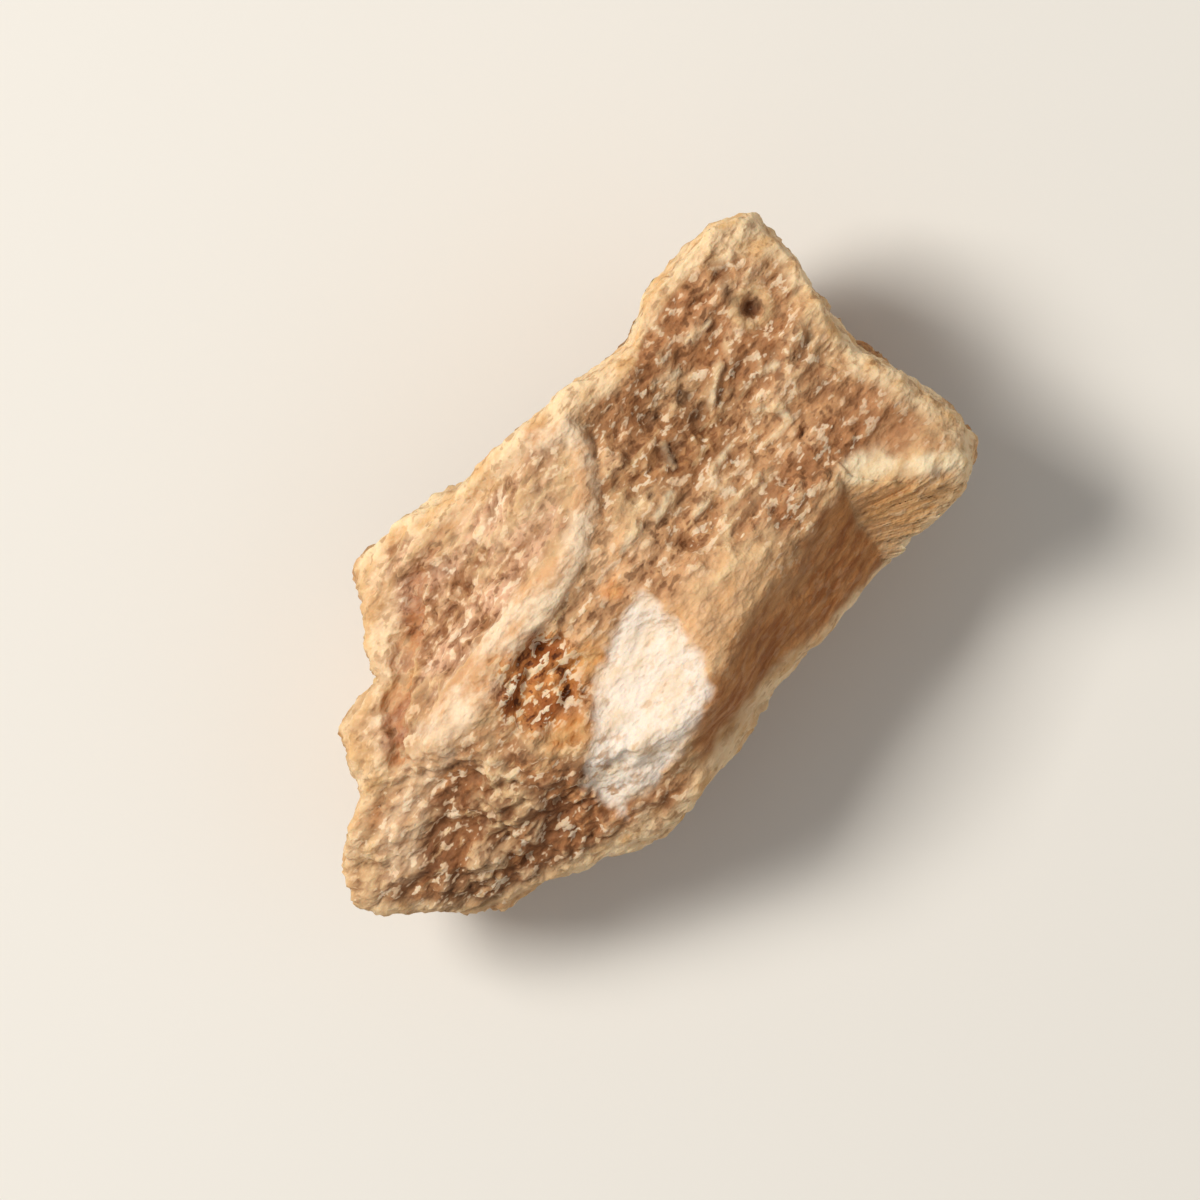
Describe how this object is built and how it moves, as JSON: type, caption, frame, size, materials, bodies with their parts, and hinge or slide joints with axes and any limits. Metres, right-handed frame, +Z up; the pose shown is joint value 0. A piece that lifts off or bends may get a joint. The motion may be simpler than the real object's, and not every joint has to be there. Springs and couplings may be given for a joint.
{
  "type": "dried ginger root piece",
  "caption": "Rough angular piece of dried, chopped ginger root with broken faces, a pale fresh scar, and a flat break that it rests on.",
  "frame": {"origin": "on the surface that the piece rests on, below the centre of its box", "axes": "+X along the root's fibres towards the square-cut end, which is the longest way; +Z up from the resting break, which is the shortest way"},
  "size_m": [0.0094, 0.005, 0.0038],
  "materials": {
    "dried_ginger": "dry, matt, fibrous and granular, with cream edges and rust-brown pits"
  },
  "bodies": {
    "root": {"ginger_piece": "dried_ginger"}
  },
  "joints": []
}
